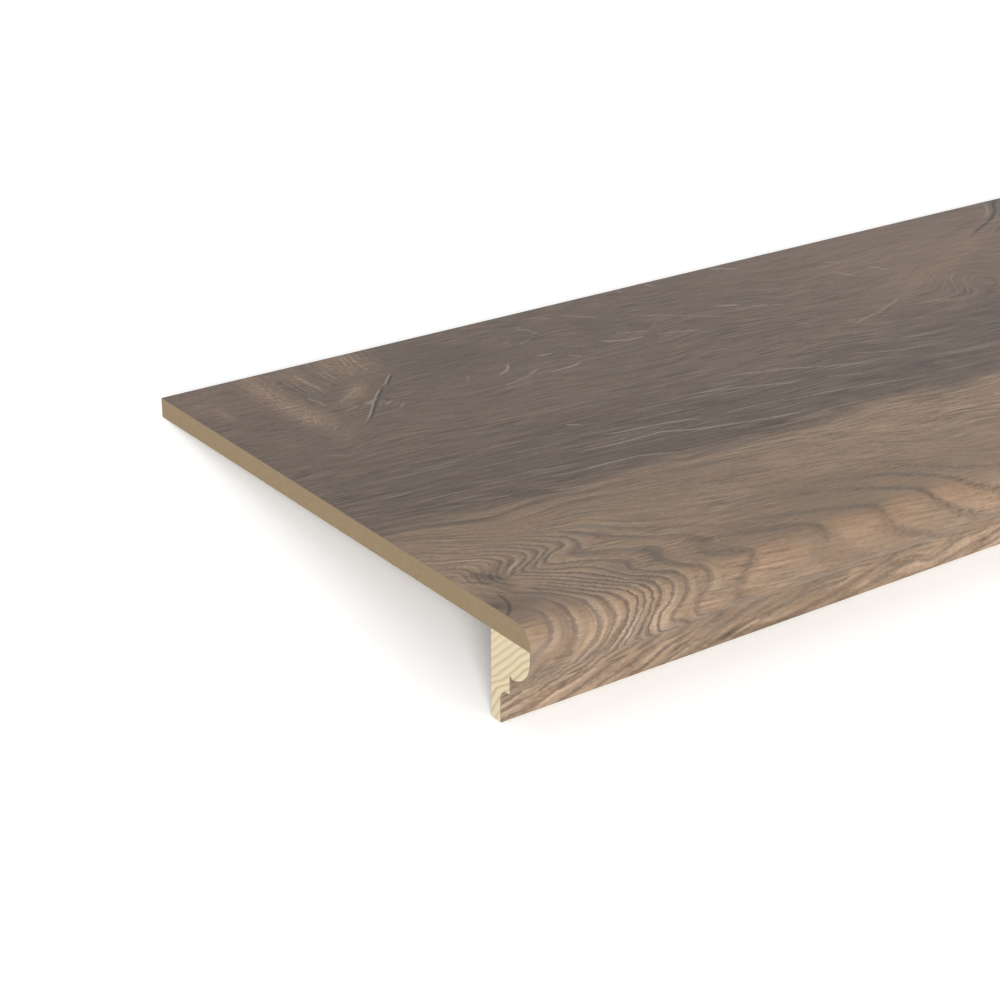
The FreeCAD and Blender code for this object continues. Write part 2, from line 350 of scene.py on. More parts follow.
# Growth rings of the printed oak: the number of each ring line, with a few places (along,
# down) that it passes. A smooth surface through them all gives every point its ring number.
RING_LINES = [
    (0, [(0, 344), (10, 356), (15, 370), (12, 384), (0, 392)]),
    (1, [(0, 308), (2, 320), (4, 332), (12, 344), (24, 353), (27, 361), (28, 370), (28, 380),
         (25, 390), (18, 397), (8, 402)]),
    (2, [(0, 303), (8, 307), (7, 316), (6, 326), (12, 337), (24, 345), (31, 352), (37, 360),
         (41, 371), (43, 382), (41, 390), (33, 400)]),
    (3, [(0, 297), (10, 302), (16, 307), (13, 316), (12, 326), (16, 333), (24, 339), (33, 347),
         (42, 358), (48, 368), (52, 379), (49, 390), (42, 400)]),
    (4, [(0, 290), (14, 297), (24, 302), (27, 306), (24, 312), (19, 319), (17, 326), (22, 333),
         (30, 340), (40, 350), (50, 362), (59, 373), (62, 381), (58, 391), (51, 400)]),
    (5, [(8, 290), (22, 297), (31, 303), (33, 308), (29, 314), (22, 321), (21, 326), (26, 332),
         (36, 340), (46, 351), (57, 363), (66, 372), (69, 378), (64, 388), (57, 400)]),
    (6, [(12, 287), (26, 295), (37, 302), (40, 308), (36, 314), (28, 320), (25, 325), (29, 330),
         (40, 339), (52, 351), (62, 362), (71, 371), (74, 378), (68, 388), (61, 400)]),
    (7, [(16, 284), (32, 293), (44, 301), (48, 308), (43, 315), (33, 320), (30, 325), (35, 330),
         (45, 338), (57, 350), (68, 362), (76, 371), (79, 378), (73, 388), (68, 400)]),
    (8, [(22, 283), (38, 291), (50, 300), (56, 308), (51, 315), (40, 321), (36, 325), (42, 331),
         (54, 340), (64, 350), (72, 361), (80, 369), (84, 378), (78, 387), (76, 400)]),
    (9, [(10, 270), (30, 284), (45, 293), (55, 300), (62.5, 309), (60, 313), (48, 320), (43, 325),
         (49, 331), (62, 337), (72, 348), (78, 361), (86, 367), (93, 377), (88, 385), (82, 390),
         (81, 396), (84, 402)]),
    (10, [(35, 281), (50, 291), (65, 301), (73, 308), (70, 313), (60, 316), (52, 321), (52, 325),
          (60, 329), (72, 334), (85, 344), (86, 347), (83, 355), (90, 364), (98, 368),
          (101, 374), (100, 381), (94, 388), (90, 392), (93, 398)]),
    (11, [(60, 290), (75, 301), (81, 308), (80, 313), (72, 321), (70, 325), (85, 330),
          (100, 339), (108, 342), (106, 347), (103, 354), (108, 366), (116, 373), (117, 380),
          (110, 387), (106, 393), (111, 400)]),
    (12, [(70, 292), (85, 301), (92, 309), (99, 317), (110, 326), (132, 339), (137, 350),
          (128, 357), (128, 364), (145, 369), (149, 374), (142, 381), (134, 390), (140, 398)]),
    (13, [(82, 292), (98, 300), (106, 308), (116, 317), (132, 327), (150, 337), (168, 346),
          (158, 353), (165, 358), (190, 362), (200, 374), (190, 384), (200, 388), (230, 398)]),
    (14, [(92, 290), (110, 301), (125, 312), (160, 327), (185, 347), (205, 354), (225, 361),
          (240, 370), (241, 382), (248, 389), (275, 397)]),
    (15, [(88, 287), (125, 303), (180, 322), (215, 334), (250, 349), (262, 356), (278, 370),
          (280, 378), (295, 389), (310, 396)]),
    (16, [(95, 284), (160, 307), (200, 319), (250, 333), (275, 341), (295, 358), (306, 374),
          (328, 384), (360, 390)]),
    (17, [(100, 281), (140, 293), (190, 308), (240, 321), (275, 331), (297, 342), (315, 360),
          (350, 373), (400, 380)]),
    (19, [(110, 277), (160, 290), (230, 307), (290, 323), (330, 338), (370, 353), (430, 366)]),
    (21, [(115, 273), (180, 287), (260, 303), (303, 313), (325, 327), (340, 335), (390, 346),
          (450, 356)]),
    (24, [(120, 268), (200, 280), (300, 298), (380, 318), (460, 334), (560, 346)]),
    (28, [(120, 261), (200, 270), (300, 284), (400, 302), (480, 316), (600, 322)]),
    (32, [(0, 234), (60, 243), (120, 252), (200, 260), (300, 270), (420, 284), (540, 296)]),
    (20, [(0, 253), (30, 262), (60, 274)]),
    (36, [(0, 219), (60, 226), (120, 234), (200, 242), (320, 254), (460, 268)]),
    (42, [(0, 201), (60, 206), (120, 213), (200, 222), (320, 234), (460, 248), (600, 264)]),
    (48, [(0, 182), (60, 186), (120, 192), (200, 200), (320, 213), (460, 230), (600, 246)]),
    (56, [(0, 155), (60, 158), (120, 162), (200, 169), (320, 182), (460, 200), (600, 218)]),
    (64, [(0, 127), (60, 130), (120, 133), (200, 138), (320, 150), (460, 166), (600, 186)]),
    (70, [(0, 118), (40, 116), (66, 106), (84, 90), (96, 80), (108, 92), (130, 105), (200, 112),
          (320, 120), (440, 134), (520, 150)]),
    (73, [(97, -10), (97, 20), (95, 45)]),
    (76, [(0, 112), (35, 111), (56, 103), (68, 86), (73, 60), (75, 30), (76, -10), (108, -10),
          (107, 15), (106, 40), (112, 66), (128, 84), (165, 94), (220, 98), (320, 104), (440, 112)]),
    (82, [(0, 105), (30, 103), (48, 95), (59, 78), (63, 50), (64, 20), (64, -10), (126, -10),
          (123, 15), (121, 38), (138, 58), (155, 72), (200, 82), (300, 86), (440, 92)]),
    (88, [(0, 96), (26, 94), (42, 84), (50, 64), (53, 35), (53, -10), (150, -10), (150, 15),
          (162, 42), (200, 54), (300, 66), (440, 74)]),
    (94, [(0, 70), (22, 60), (36, 36), (39, -10), (175, -10), (240, 8), (320, 22), (440, 34)]),
    (104, [(250, -5), (320, 10), (440, 14), (600, 4)]),
    (1, [(17, 403), (21, 412), (26, 419), (8, 424)]),
    (3, [(38, 403), (42, 411), (44, 419), (20, 425), (0, 430)]),
    (5, [(57, 403), (62, 412), (64, 419), (38, 426), (12, 432), (0, 437)]),
    (7, [(72, 403), (78, 412), (80, 419), (56, 427), (30, 436), (0, 444)]),
    (8, [(81, 405), (87, 412), (90, 419), (66, 428), (46, 438), (20, 445), (0, 448)]),
    (9, [(97, 404), (105, 411), (108, 419), (84, 429), (62, 438), (38, 446), (12, 452)]),
    (10, [(104, 404), (116, 411), (122, 419), (100, 430), (80, 441), (60, 447), (38, 453)]),
    (11, [(124, 404), (140, 411), (146, 419), (124, 430), (98, 441), (80, 447), (62, 453)]),
    (12, [(150, 404), (172, 411), (176, 419), (150, 430), (120, 441), (104, 446), (86, 453)]),
    (13, [(236, 402), (240, 411), (230, 420), (195, 430), (158, 441), (134, 446), (108, 453)]),
    (14, [(286, 404), (292, 412), (284, 420), (258, 430), (236, 441), (180, 446), (134, 453)]),
    (15, [(335, 402), (346, 411), (340, 420), (318, 430), (300, 441), (240, 446), (172, 453)]),
    (16, [(400, 398), (410, 410), (400, 420), (372, 430), (346, 441), (296, 446), (236, 453)]),
    (17, [(450, 390), (480, 402), (470, 418), (430, 430), (390, 441), (345, 446), (290, 453)]),
    (19, [(520, 384), (565, 402), (550, 419), (510, 430), (470, 441), (380, 453)]),
    (21, [(560, 372), (640, 394), (630, 419), (590, 432), (550, 441), (470, 453)]),
    (25, [(640, 372), (760, 396), (750, 420), (700, 436), (620, 453)]),
    (32, [(640, 300), (760, 325), (880, 365), (1000, 410)]),
    (42, [(700, 262), (820, 280), (1000, 330)]),
    (52, [(720, 232), (860, 240), (1000, 262)]),
    (66, [(700, 170), (820, 180), (1000, 200)]),
    (80, [(700, 110), (820, 122), (1000, 140)]),
    (92, [(700, 60), (820, 72), (1000, 84)]),
    (104, [(760, 20), (1000, 36)]),
]

# Knots and swirls: centre (along, down), how many rings they rise, and their reach
ROUND_KNOTS = [(45, 142, 3, 8), (578, 124, -9, 20), (790, 300, 7, 22)]
FIT_UNIT = 100          # millimetres to one unit of the fit
FIT_SLACK = 2e-4        # lets the surface pass a little beside the followed places
TINY = 1e-9             # keeps the logarithm finite on the places themselves
RING_GAP_LEAST = 1.5    # millimetres between rings
RING_GAP_MOST = 26


def thin_plate(squared):
    """Influence of one place on another, from their squared distance."""
    return squared * np.log(squared + TINY)


followed = np.array([(*spot, ring) for ring, line in RING_LINES for spot in line], float)
scaled = followed[:, :2] / FIT_UNIT
apart = ((scaled[:, None] - scaled[None]) ** 2).sum(axis=2)
flat = np.column_stack([np.ones(len(scaled)), scaled])
system = np.block([[thin_plate(apart) + FIT_SLACK * np.eye(len(scaled)), flat],
                   [flat.T, np.zeros((3, 3))]])
weights = np.linalg.solve(system, np.append(followed[:, 2], np.zeros(3)))
here = np.column_stack([along, down]) / FIT_UNIT
rings = np.column_stack([np.ones(len(here)), here]) @ weights[-3:]
slope = np.tile(weights[-2:], (len(here), 1))
for spot, weight in zip(scaled, weights):
    aside = here - spot
    squared = (aside ** 2).sum(axis=1)
    rings += weight * thin_plate(squared)
    slope += (2 * weight * (np.log(squared + TINY) + 1))[:, None] * aside
slope /= FIT_UNIT
for centre_along, centre_down, rise, reach in ROUND_KNOTS:
    aside = np.column_stack([along - centre_along, down - centre_down])
    bulge = rise * np.exp(-(aside ** 2).sum(axis=1) / (2 * reach ** 2))
    rings += bulge
    slope -= bulge[:, None] * aside / reach ** 2
steepness = np.linalg.norm(slope, axis=1)
ring_gap = 1 / steepness.clip(1 / RING_GAP_MOST, 1 / RING_GAP_LEAST)


# Where the print changes. The front half of the top and all below it is tan, from an edge given
# by places (along, down). Before that edge lies a dark band, and soft patches do the rest: dark,
# warm or light wood, brighter or duller (gain), stronger ring lines, and ripples that run
# aslant, run level with the sheet, or are calm.
TAN_EDGE = [(0, 248), (60, 252), (150, 262), (240, 264), (360, 262), (480, 268), (1000, 290)]
TAN_EDGE_WIDTH = 64
BAND_AMOUNT = 0.75
BAND_BACK = (150, 200)  # down
BAND_FRONT = (-28, 12)  # down from the tan edge
# Where the ring lines grow stronger: down from, down to and by how much
RING_LINE_RISES = [(262, 276, 0.12), (325, 365, 0.22), (405, 440, 0.30)]
CALM_AMOUNT = 0.45
CALM_FAR = (340, 600)   # along
CALM_BACK = (100, 180)  # down
CALM_MOST = 0.8
DARK_PATCHES = [(175, 42, 40, 34, 0, 0.5), (105, 347, 8, 7, 70, 0.6), (135, 346, 7, 6, 60, 0.5),
                (18, 324, 4, 13, 0, 0.7), (5, 350, 12, 16, 0, 0.65), (26, 323, 9, 4, 20, 0.4),
                (22, 352, 14, 12, 0, 0.55)]
WARM_PATCHES = [(57, 44, 9, 62, 0, 0.95), (86, 16, 7, 28, 4, 0.9), (124, 12, 16, 26, 6, 1.0),
                (70, 8, 12, 10, 0, 0.4), (60, 84, 9, 14, -20, 0.5), (100, 62, 16, 7, -45, 0.45),
                (20, 7, 24, 7, 0, 0.3), (104, 14, 8, 18, 0, 0.5), (99, 63, 18, 5, -42, 0.4)]
LIGHT_PATCHES = [(600, 60, 120, 70, 0, 0.20), (480, 60, 120, 70, 0, 0.06), (22, 30, 26, 26, 0, 0.16),
                 (99, 62, 17, 5, -42, 0.16), (18, 48, 2.2, 9, 0, 0.40), (550, 104, 130, 14, -22, 0.16),
                 (300, 288, 160, 16, 5, 0.10), (172, 382, 26, 11, 4, 0.46), (222, 381, 19, 14, 10, 0.62),
                 (262, 373, 14, 12, 20, 0.66), (292, 371, 8, 10, 40, 0.66), (316, 388, 22, 6, 14, 0.7),
                 (140, 343, 6, 4, 0, 0.6), (190, 344, 8, 4, 10, 0.6), (266, 347, 12, 5, 20, 0.6),
                 (115, 350, 5, 8, 0, 0.4), (10, 388, 14, 8, 0, 0.5)]
GAIN_PATCHES = [(30, 266, 60, 16, 15, -0.14), (150, 282, 90, 20, 8, -0.17), (70, 325, 70, 28, 20, 0.06),
                (245, 334, 60, 14, 10, -0.13), (45, 385, 60, 40, 0, 0.12), (25, 432, 60, 14, 0, 0.12),
                (20, 449, 80, 9, 0, 0.34), (330, 447, 60, 14, 0, 0.34), (200, 430, 60, 10, 0, -0.06),
                (175, 45, 40, 30, 0, -0.08), (215, 352, 100, 36, 0, -0.16), (127, 16, 12, 26, 0, 0.08),
                (200, 415, 80, 24, 0, -0.07), (50, 380, 40, 18, 0, 0.05), (200, 210, 130, 40, 5, -0.05),
                (340, 50, 200, 50, 0, -0.09), (56, 45, 10, 70, 0, 0.13)]
RING_LINE_PATCHES = [(60, 372, 60, 34, 0, 0.75), (55, 312, 45, 20, 15, 0.75),
                     (105, 315, 40, 22, 20, 0.35), (60, 340, 50, 14, 35, 0.3),
                     (110, 318, 50, 14, 30, 0.3), (10, 350, 16, 18, 0, -0.5),
                     (20, 330, 14, 12, 0, -0.3), (60, 447, 110, 10, 0, 0.25), (70, 408, 60, 12, 0, 0.3)]
SLANTING_PATCHES = [(32, 274, 44, 18, 20, 1.0)]
LEVEL_PATCHES = [(12, 55, 38, 66, 0, 1.6), (104, 82, 42, 36, 0, 1.4), (230, 355, 130, 46, 8, 1.2),
                 (178, 38, 42, 44, 0, 1.3), (300, 28, 105, 38, 3, 1.7)]
CALM_PATCHES = [(18, 368, 30, 28, 0, 0.6), (225, 366, 110, 30, 6, 0.7), (390, 350, 100, 26, 8, 0.5),
                (220, 135, 110, 28, 4, 0.35), (60, 272, 100, 20, 8, 0.38), (200, 282, 60, 18, 8, 0.25),
                (130, 431, 190, 9, 0, 0.45)]


def rise_between(value, start, end):
    """0 before start, 1 after end, smooth between."""
    part = np.clip((value - start) / (end - start), 0, 1)
    return part * part * (3 - 2 * part)


def paint_patches(patches):
    """Sum of soft oval patches: place, half length, half width, turn in degrees, amount."""
    total = np.zeros(len(along))
    for centre_along, centre_down, length, width, turn, amount in patches:
        angle = math.radians(turn)
        aside, ahead = along - centre_along, down - centre_down
        lengthways = (aside * math.cos(angle) + ahead * math.sin(angle)) / length
        crossways = (ahead * math.cos(angle) - aside * math.sin(angle)) / width
        total += amount * np.exp(-(lengthways ** 2 + crossways ** 2))
    return total


past_edge = down - np.interp(along, *zip(*TAN_EDGE))
tan = np.clip(past_edge / TAN_EDGE_WIDTH + 0.5, 0, 1)
band = rise_between(down, *BAND_BACK) * (1 - rise_between(past_edge, *BAND_FRONT))
dark = np.clip(BAND_AMOUNT * band + paint_patches(DARK_PATCHES), 0, 1)
warm = np.clip(paint_patches(WARM_PATCHES), 0, 1)
light = np.clip(paint_patches(LIGHT_PATCHES), 0, 1)
lines = sum(amount * rise_between(down, start, end) for start, end, amount in RING_LINE_RISES)
lines = np.clip(lines + paint_patches(RING_LINE_PATCHES), 0, 1)
gain = 1 + paint_patches(GAIN_PATCHES)
slanting = np.clip(paint_patches(SLANTING_PATCHES), 0, 1)
level = np.clip(paint_patches(LEVEL_PATCHES), 0, 1)
calm = CALM_AMOUNT * rise_between(along, *CALM_FAR) * (1 - rise_between(down, *CALM_BACK))
calm = np.clip(calm + paint_patches(CALM_PATCHES), 0, CALM_MOST)


# Ray flecks and other pale strokes, cracks, and bands of slate grey wood: each has its half
# width, its amount and the places that it is followed at
PALE_STROKES = [
    (0.8, 0.9, [(174, 178), (178, 181), (182, 185)]),
    (0.9, 0.8, [(178, 202), (190, 206), (205, 208), (225, 211), (240, 216), (252, 219)]),
    (0.8, 0.6, [(258, 219), (285, 221), (312, 224)]),
    (0.8, 0.6, [(108, 252), (125, 256), (134, 258)]),
    (0.8, 0.5, [(3, 320), (8, 325), (13, 331), (14, 338), (17, 345)]),
    (0.55, 1.3, [(79, 108), (90, 96), (102, 81), (111, 71), (121, 60)]),
    (0.55, 1.3, [(121, 61), (125, 59), (129, 54), (136, 47)]),
    (0.9, 0.6, [(72, 52), (74, 62), (75, 71)]),
    (0.9, 0.9, [(150, 217), (190, 220), (213, 220), (232, 229), (260, 237), (300, 245), (320, 245)]),
    (0.7, 0.5, [(60, 235), (75, 240), (90, 244)]),
    (0.8, 0.8, [(140, 238), (160, 239), (180, 241), (195, 247), (205, 250)]),
    (0.8, 0.8, [(265, 183), (285, 188), (305, 195), (330, 205), (345, 205)]),
    (0.8, 0.7, [(300, 172), (320, 177), (345, 185), (365, 195), (385, 203), (405, 212)]),
    (0.8, 0.6, [(395, 187), (410, 195), (430, 203), (455, 205)]),
    (0.8, 0.6, [(355, 210), (380, 220)]),
    (0.8, 0.7, [(300, 225), (340, 230), (380, 239), (400, 243)]),
    (0.8, 0.7, [(83, 71), (92, 66), (100, 60), (108, 53)]),
    (0.8, 0.6, [(79, 84), (86, 83), (92, 80)]),
    (1.1, 1.0, [(96, 80), (100, 80), (106, 78)]),
    (1.0, 0.9, [(106, 89), (109, 87), (113, 85)]),
    (0.9, 0.7, [(110, 98), (114, 95), (118, 92)]),
    (0.9, 0.5, [(104, 18), (104, 28), (105, 36)]),
    (1.0, 0.6, [(436, 151), (450, 145), (470, 140), (490, 133), (508, 124)]),
    (1.0, 1.0, [(190, 89), (200, 84), (206, 77), (205, 74)]),
    (0.9, 0.8, [(206, 98), (218, 94)]),
    (1.0, 0.9, [(218, 103), (238, 103), (247, 99)]),
    (0.8, 0.5, [(181, 106), (208, 100)]),
    (0.8, 0.5, [(168, 85), (175, 78)]),
    (1.0, 0.6, [(248, 24), (255, 32), (256, 43)]),
    (0.9, 0.6, [(234, 50), (246, 47)]),
    (1.0, 0.8, [(230, 75), (242, 76)]),
    (0.9, 0.6, [(247, 84), (254, 92)]),
    (0.9, 0.5, [(256, 71), (270, 79)]),
    (0.9, 0.7, [(272, 15), (281, 21)]),
    (0.9, 0.6, [(289, 20), (309, 40)]),
    (1.1, 0.9, [(280, 73), (285, 80), (297, 85), (311, 86)]),
    (1.0, 0.7, [(297, 70), (308, 75), (320, 79)]),
    (1.0, 0.7, [(318, 87), (332, 91), (350, 98)]),
    (1.1, 0.5, [(328, 47), (356, 69), (382, 89)]),
    (1.3, 0.9, [(387, 66), (403, 75)]),
    (1.3, 0.7, [(405, 81), (419, 86)]),
    (1.2, 0.5, [(420, 88), (428, 91)]),
    (1.5, 0.6, [(505, 59), (511, 76)]),
    (1.5, 0.6, [(532, 63), (541, 79)]),
    (1.4, 0.5, [(514, 38), (524, 47)]),
    (1.5, 0.8, [(435, 1), (455, 15)]),
    (1.2, 0.7, [(376, 3), (381, 10)]),
    (1.2, 0.6, [(352, 0), (354, 7)]),
    (1.4, 0.6, [(690, 31), (705, 20), (713, 11), (720, 2)]),
]
CRACKS = [
    (1.2, 0.9, [(79, 109), (91, 97), (103, 82), (112, 72), (122, 61)]),
    (1.2, 0.9, [(122, 63), (126, 60), (130, 55), (137, 48)]),
    (1.6, 0.7, [(110, 80), (111, 83), (111, 86)]),
    (1.4, 0.6, [(72, 16), (72, 19), (71, 22)]),
    (1.2, 0.5, [(72, 32), (73, 36), (72, 40)]),
    (1.2, 0.5, [(72, 46), (73, 49), (73, 52)]),
    (1.5, 1.0, [(641, 60), (665, 48), (679, 42), (694, 34), (711, 22), (719, 13), (728, 4), (736, 1),
                (748, -8)]),
    (1.0, 0.8, [(667, 62), (679, 56), (692, 49), (704, 45)]),
    (0.9, 0.8, [(9, 337), (10, 342), (9, 349), (6, 355), (-2, 363)]),
    (0.6, 0.5, [(72, 243), (84, 244), (98, 243)]),
    (0.6, 0.5, [(98, 246), (115, 246), (138, 246)]),
    (0.7, 0.7, [(2, 316), (8, 321), (16, 328)]),
    (0.8, 0.55, [(24, 327), (28, 325), (33, 323)]),
    (1.6, 0.5, [(12, 310), (16, 316), (20, 322), (23, 328)]),
    (1.3, 0.5, [(19, 329), (21, 334), (25, 337)]),
    (0.9, 0.5, [(28, 341), (29, 346), (31, 350)]),
    (0.7, 0.5, [(456, 150), (468, 146), (482, 138), (494, 134)]),
]
SLATE_BANDS = [
    (1.8, 0.8, [(120, 340), (132, 347), (142, 351), (155, 354), (168, 358), (182, 361), (192, 366),
                (199, 372), (199, 379), (190, 386)]),
    (1.7, 0.7, [(118, 357), (130, 363), (140, 368), (149, 372), (146, 377), (138, 384), (134, 394)]),
    (1.9, 0.8, [(160, 336), (172, 343), (180, 348), (192, 350), (206, 355), (220, 361), (234, 366),
                (242, 371), (243, 378), (248, 386), (260, 392), (280, 399)]),
    (2.0, 0.9, [(234, 338), (248, 347), (258, 354), (268, 361), (277, 369), (280, 378), (290, 385),
                (305, 392), (330, 398)]),
    (1.9, 0.9, [(250, 336), (270, 340), (280, 345), (286, 351), (294, 357), (301, 363), (305, 371),
                (313, 378), (328, 383), (350, 387)]),
    (2.0, 0.7, [(280, 325), (294, 339), (304, 349), (316, 358), (336, 368)]),
    (2.0, 0.7, [(108, 335), (105, 344), (102, 351), (101, 358)]),
    (1.6, 0.6, [(84, 341), (86, 348), (82, 358)]),
]


STROKE_REACH = 7        # millimetres round a stroke
STROKE_FADE = 0.18      # share of its length, at either end
FAR = 1e3


def lay_strokes(strokes):
    """For every point the signed distance from the nearest stroke, its half width and amount."""
    distance = np.full(len(along), FAR)
    width = np.ones(len(along))
    strength = np.zeros(len(along))
    for half_width, amount, line in strokes:
        line = np.array(line, float)
        runs = np.diff(line, axis=0)
        lengths = np.linalg.norm(runs, axis=1)
        starts = np.concatenate([[0], np.cumsum(lengths)])
        for first, run, length, start in zip(line, runs, lengths, starts):
            ahead = run / length
            aside = np.column_stack([along - first[0], down - first[1]])
            travelled = np.clip(aside @ ahead, 0, length)
            away = np.linalg.norm(aside - travelled[:, None] * ahead, axis=1)
            side = np.where(aside @ np.array([-ahead[1], ahead[0]]) < 0, -1, 1)
            part = (start + travelled) / starts[-1]
            fade = rise_between(part, 0, STROKE_FADE) * rise_between(1 - part, 0, STROKE_FADE)
            closer = away < np.minimum(abs(distance), STROKE_REACH)
            distance[closer] = (away * side)[closer]
            width[closer] = half_width
            strength[closer] = (amount * fade)[closer]
    return distance, width, strength


def keep_on_points(name, *values):
    """Keeps three numbers for every point of the sheet."""
    store = sheet.data.attributes.new(name, "FLOAT_VECTOR", "POINT")
    store.data.foreach_set("vector", np.column_stack(values).astype(np.float32).ravel())


GRAIN_PER_RING = 3.6    # what a ring adds across the grain, in millimetres
nothing = np.zeros(len(along))
keep_on_points("flat_place", along, down, nothing)
keep_on_points("rings", rings, ring_gap, nothing)
keep_on_points("grain", along, down, -GRAIN_PER_RING * rings)
keep_on_points("shades", tan, dark, warm)
keep_on_points("accents", light, lines, gain)
keep_on_points("directions", slanting, level, calm)
keep_on_points("pale_strokes", *lay_strokes(PALE_STROKES))
keep_on_points("cracks", *lay_strokes(CRACKS))
keep_on_points("slate_bands", *lay_strokes(SLATE_BANDS))

OAK_GREY = (0.131, 0.091, 0.067, 1)
OAK_SLATE = (0.108, 0.077, 0.058, 1)
OAK_TAN = (0.268, 0.186, 0.124, 1)
OAK_GOLD = (0.198, 0.138, 0.094, 1)
OAK_SHADOW = (0.128, 0.094, 0.073, 1)
OAK_HONEY = (0.345, 0.224, 0.148, 1)
OAK_PALE = (0.310, 0.258, 0.212, 1)
OAK_PORE = (0.075, 0.055, 0.043, 1)
CRACK_DARK = (0.022, 0.020, 0.020, 1)

# Millimetres that noise moves a ring line, and how strongly each layer of the print shows
RING_WANDER = 4.0
RING_RAGGED = 6.0
RING_RAGGED_GOLD = 5.0  # on top of the other, in the warm patches
GOLD_AMOUNT = 0.9
GOLD_LINE_AMOUNT = 0.85
RING_TAIL_AMOUNT = 0.40
# Strength of the painted highlight beside each ring line
RING_RIDGE_HIGHLIGHT_AMOUNT = 0.35
STREAK_AMOUNT = 1.6
FINE_STREAK_AMOUNT = 0.12
FIBRE_AMOUNT = 0.75
MOTTLING_AMOUNT = 0.25
WARMTH_AMOUNT = 0.20
SLATE_AMOUNT = 0.74
SLATE_PORE_AMOUNT = 0.48
CRACK_AMOUNT = 0.75
PALE_AMOUNT = 0.75
THREAD_AMOUNT = 0.22    # and as much again in dark wood
LEVEL_TURN = -0.10      # radians on the flat sheet
SLANTING_TURN = -0.54


def kept_numbers(tree, name):
    """The three numbers that the points keep under a name."""
    store = add_node(tree, "Attribute", attribute_name=name).outputs["Vector"]
    return add_node(tree, "SeparateXYZ", {0: store}).outputs


def around_zero(tree, value, amount):
    """Noise moved to swing about zero, with its amount."""
    return calc(tree, "MULTIPLY", calc(tree, "SUBTRACT", value, 0.5), amount)


def total(tree, *values):
    """Sum of several values."""
    result = values[0]
    for value in values[1:]:
        result = calc(tree, "ADD", result, value)
    return result


oak, tree, shader = start_material("printed_oak")
flat_place = add_node(tree, "Attribute", attribute_name="flat_place").outputs["Vector"]
grain_place = add_node(tree, "Attribute", attribute_name="grain").outputs["Vector"]
ring_height, ring_spacing, _ = kept_numbers(tree, "rings")
tan_part, dark_part, warm_part = kept_numbers(tree, "shades")
light_part, line_part, gain_part = kept_numbers(tree, "accents")
slanting_part, level_part, calm_part = kept_numbers(tree, "directions")
level_part = calc(tree, "MAXIMUM", level_part, ease(tree, ring_spacing, 12.0, 22.0))

# Ring lines: narrow and crisp where the rings lie close, wide and soft where they lie apart,
# ragged from the wood's pores, with a painted highlight on one side, as light on an embossed ridge
wander = noise(tree, stretch(tree, flat_place, (0.03, 0.10, 1)), detail=2)
ragged = noise(tree, stretch(tree, flat_place, (0.22, 0.7, 1)), detail=3, roughness=0.65)
raggedness = calc(tree, "MULTIPLY_ADD", warm_part, RING_RAGGED_GOLD, RING_RAGGED)
shaken = total(tree, around_zero(tree, wander, RING_WANDER), around_zero(tree, ragged, raggedness))
strayed = calc(tree, "DIVIDE", shaken, calc(tree, "ADD", ring_spacing, 2.0))
past = calc(tree, "FRACT", calc(tree, "ADD", ring_height, strayed))
before = one_minus(tree, past)
nearest = product(tree, calc(tree, "MINIMUM", past, before), ring_spacing)
wide_rings = ease(tree, ring_spacing, 4.5, 9.0)
swelling = noise(tree, stretch(tree, flat_place, (0.07, 0.07, 1), shift=(3, 0, 9)), detail=1)
half_width = product(tree, calc(tree, "MULTIPLY_ADD", ring_spacing, 0.10, 0.28),
                     calc(tree, "MULTIPLY_ADD", swelling, 1.6, 0.3))
line = one_minus(tree, ease(tree, calc(tree, "DIVIDE", nearest, half_width), 0.45, 1.3))
# Painted highlight: a pale line just past each ring line, as light catching an embossed ridge
from_line = calc(tree, "SUBTRACT", product(tree, past, ring_spacing), half_width)
off_ridge_highlight = calc(tree, "ABSOLUTE", calc(tree, "SUBTRACT", from_line, 1.0))
ridge_highlight = one_minus(tree, ease(tree, off_ridge_highlight, 0.2, 1.2))
tail = ease(tree, past, 0.30, 1.0)


# Ripples and streaks along the grain, fibres, and slow changes of tone
def turned(tree, vector, angle):
    """Coordinates turned on the flat sheet."""
    return stretch(tree, vector, (1, 1, 1), turn=(0, 0, angle))


def grain_noise(tree, length_scale, width_scale, detail):
    """Noise drawn out along the rings, or along the sheet where the rings lie far apart."""
    ring_scale = (length_scale, length_scale, width_scale)
    close = noise(tree, stretch(tree, grain_place, ring_scale), detail=detail)
    level = turned(tree, flat_place, LEVEL_TURN)
    apart = noise(tree, stretch(tree, level, (length_scale, 1.1 * width_scale, 1)), detail=detail)
    difference = calc(tree, "SUBTRACT", apart, close)
    return calc(tree, "MULTIPLY_ADD", difference, level_part, close)


coarse_streaks = grain_noise(tree, 0.014, 0.10, 3)
along_rings = grain_noise(tree, 0.042, 0.54, 1)
slanting_place = turned(tree, flat_place, SLANTING_TURN)
aslant = noise(tree, stretch(tree, slanting_place, (0.06, 0.48, 1)), detail=1)
difference = calc(tree, "SUBTRACT", aslant, along_rings)
ripples = calc(tree, "MULTIPLY_ADD", difference, slanting_part, along_rings)
fibres = noise(tree, stretch(tree, flat_place, (0.22, 0.62, 1)), detail=2, roughness=0.6)
crinkle = noise(tree, stretch(tree, flat_place, (0.20, 0.30, 1)), detail=2)
mottling = noise(tree, stretch(tree, flat_place, (0.016, 0.03, 1)), detail=3, roughness=0.55)
patchy = noise(tree, stretch(tree, flat_place, (0.025, 0.05, 5)), detail=2)
hue_mottling = noise(tree, stretch(tree, flat_place, (0.03, 0.07, 3)), detail=3, roughness=0.6)

